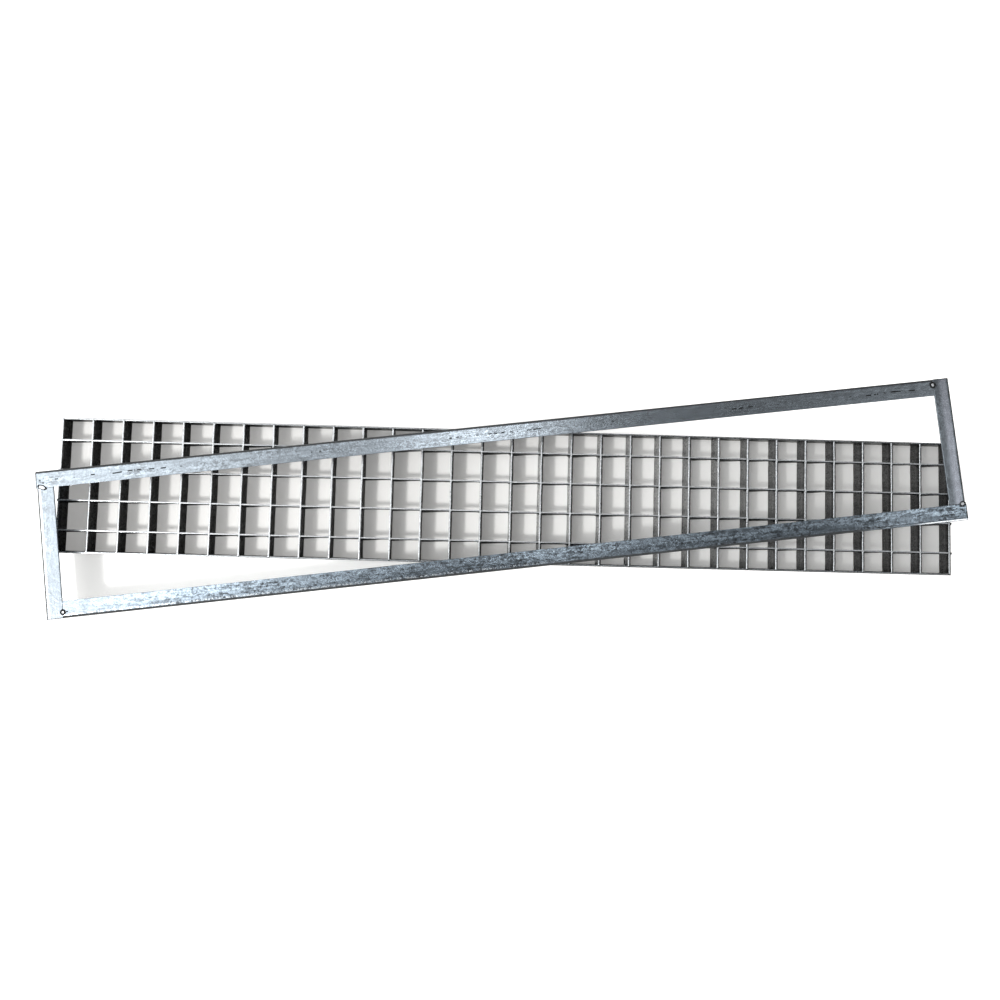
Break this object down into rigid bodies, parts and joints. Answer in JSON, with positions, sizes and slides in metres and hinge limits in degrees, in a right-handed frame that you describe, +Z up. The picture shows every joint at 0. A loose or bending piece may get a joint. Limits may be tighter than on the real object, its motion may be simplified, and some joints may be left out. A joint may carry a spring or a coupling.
{
  "type": "drainage grate",
  "caption": "Galvanised press-locked steel grating panel for a drain channel, with its angle-steel surround frame lying turned over on top.",
  "frame": {"origin": "on the floor under the middle of the surround frame", "axes": "+X along the grating panel's length, +Y across the panel, towards the back rail, +Z up"},
  "size_m": [1.0222, 0.2922, 0.042],
  "materials": {
    "galvanised_bar": "hot-dip galvanised flat bar, matt grey zinc",
    "galvanised_angle": "galvanised cold-formed angle, mottled zinc spangle"
  },
  "bodies": {
    "root": {"grating": "galvanised_bar", "frame_long_rail_front": "galvanised_angle", "frame_short_rail_right": "galvanised_angle", "frame_long_rail_back": "galvanised_angle", "frame_short_rail_left": "galvanised_angle"}
  },
  "joints": []
}
